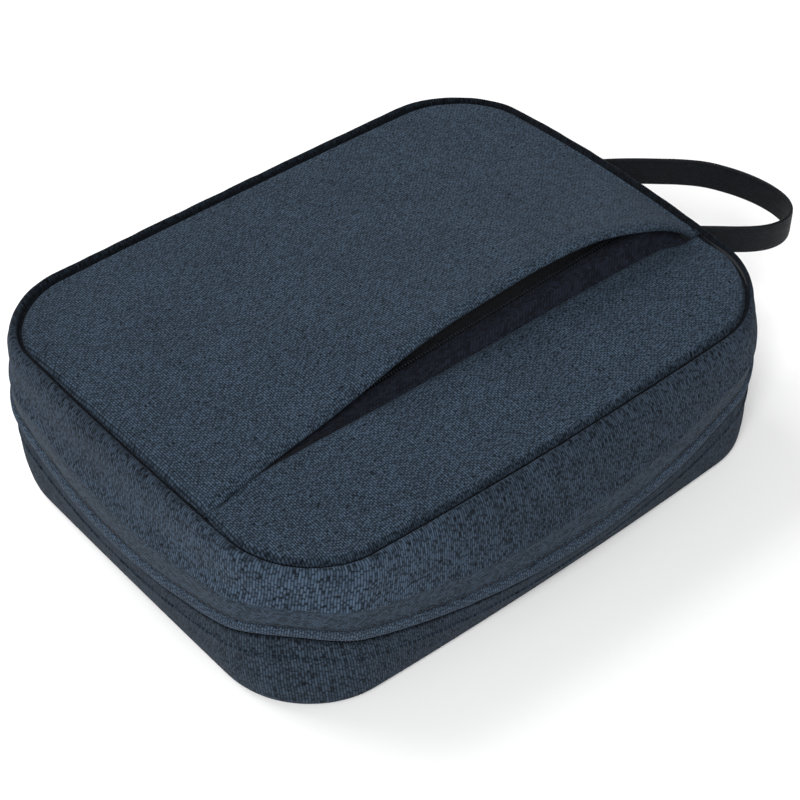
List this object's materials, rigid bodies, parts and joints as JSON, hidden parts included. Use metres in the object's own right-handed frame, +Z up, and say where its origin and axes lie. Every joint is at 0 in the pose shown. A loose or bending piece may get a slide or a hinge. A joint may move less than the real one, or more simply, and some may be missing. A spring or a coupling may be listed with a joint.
{
  "type": "travel document organizer",
  "caption": "Stuffed soft zip-around travel document organizer with a slip pocket across its cover, slip pockets inside and a wrist strap.",
  "frame": {"origin": "middle of the flat bottom panel's outer face", "axes": "+X along the long side towards the wrist strap, +Y towards the spine the cover folds on, +Z up out of the cover"},
  "size_m": [0.2985, 0.1964, 0.0868],
  "materials": {
    "outer_fabric": "dark navy melange plain-woven polyester, soft matt",
    "zip_tape": "navy herringbone zip tape, matt",
    "zip_coil": "near-black nylon coil",
    "lining": "dark grey taffeta lining, slight sheen",
    "binding": "near-black ribbed binding tape and elastic",
    "mesh": "black open knit mesh",
    "foam": "pale closed-cell foam sheet",
    "webbing": "near-black smooth narrow webbing",
    "dark_metal": "dark gunmetal coating, satin"
  },
  "bodies": {
    "base": {"bottom_panel": "outer_fabric", "base_foam": "foam", "base_lining": "lining", "base_gusset": "outer_fabric", "base_side_lining": "lining", "base_seam_binding": "binding", "base_spine_panel": "outer_fabric", "base_zip_tape": "zip_tape", "base_zip_coil": "zip_coil", "document_sleeve": "lining", "passport_pocket": "lining", "card_slot_back": "lining", "card_slot_middle": "lining", "card_slot_front": "lining", "pen_loop": "binding"},
    "cover": {"pocket_flap_panel": "outer_fabric", "lower_front_panel": "outer_fabric", "pocket_inner_sheet": "lining", "cover_foam": "foam", "cover_lining": "lining", "cover_gusset": "outer_fabric", "cover_side_lining": "lining", "cover_seam_binding": "binding", "cover_spine_panel": "outer_fabric", "cover_zip_tape": "zip_tape", "cover_zip_coil": "zip_coil", "pocket_zip_panel_tape": "zip_tape", "pocket_zip_panel_coil": "zip_coil", "pocket_zip_flap_tape": "zip_tape", "pocket_zip_flap_coil": "zip_coil", "mesh_pocket": "mesh", "mesh_pocket_binding": "binding", "strap_end_far": "webbing", "strap_end_near": "webbing"},
    "strap": {"wrist_strap": "webbing"},
    "main_slider": {"main_zip_slider": "dark_metal"},
    "main_pull": {"main_zip_pull": "dark_metal"},
    "pocket_slider": {"pocket_zip_slider": "dark_metal"},
    "pocket_pull": {"pocket_zip_pull": "dark_metal"}
  },
  "joints": [
    {"name": "cover_hinge", "type": "hinge", "parent": "base", "child": "cover", "pos_m": [0, 0.091, 0.036], "axis": [-1, 0, 0], "range_deg": [0, 180]},
    {"name": "main_zip_travel", "type": "slide", "parent": "base", "child": "main_slider", "axis": [0, -1, 0], "range_m": [0, 0.092]},
    {"name": "main_pull_swing", "type": "hinge", "parent": "main_slider", "child": "main_pull", "pos_m": [0.12415, 0.044, 0.0341], "axis": [0, 0, 1], "range_deg": [0, 180]},
    {"name": "pocket_zip_travel", "type": "slide", "parent": "cover", "child": "pocket_slider", "axis": [0.9988, 0, 0.0499], "range_m": [0, 0.16]},
    {"name": "pocket_pull_swing", "type": "hinge", "parent": "pocket_slider", "child": "pocket_pull", "pos_m": [-0.092, -0.0291, 0.06622], "axis": [0, -1, 0], "range_deg": [0, 8]},
    {"name": "strap_swing", "type": "hinge", "parent": "cover", "child": "strap", "pos_m": [0.1225, -0.0008, 0.0516], "axis": [0, -1, 0], "range_deg": [-25, 50]}
  ]
}
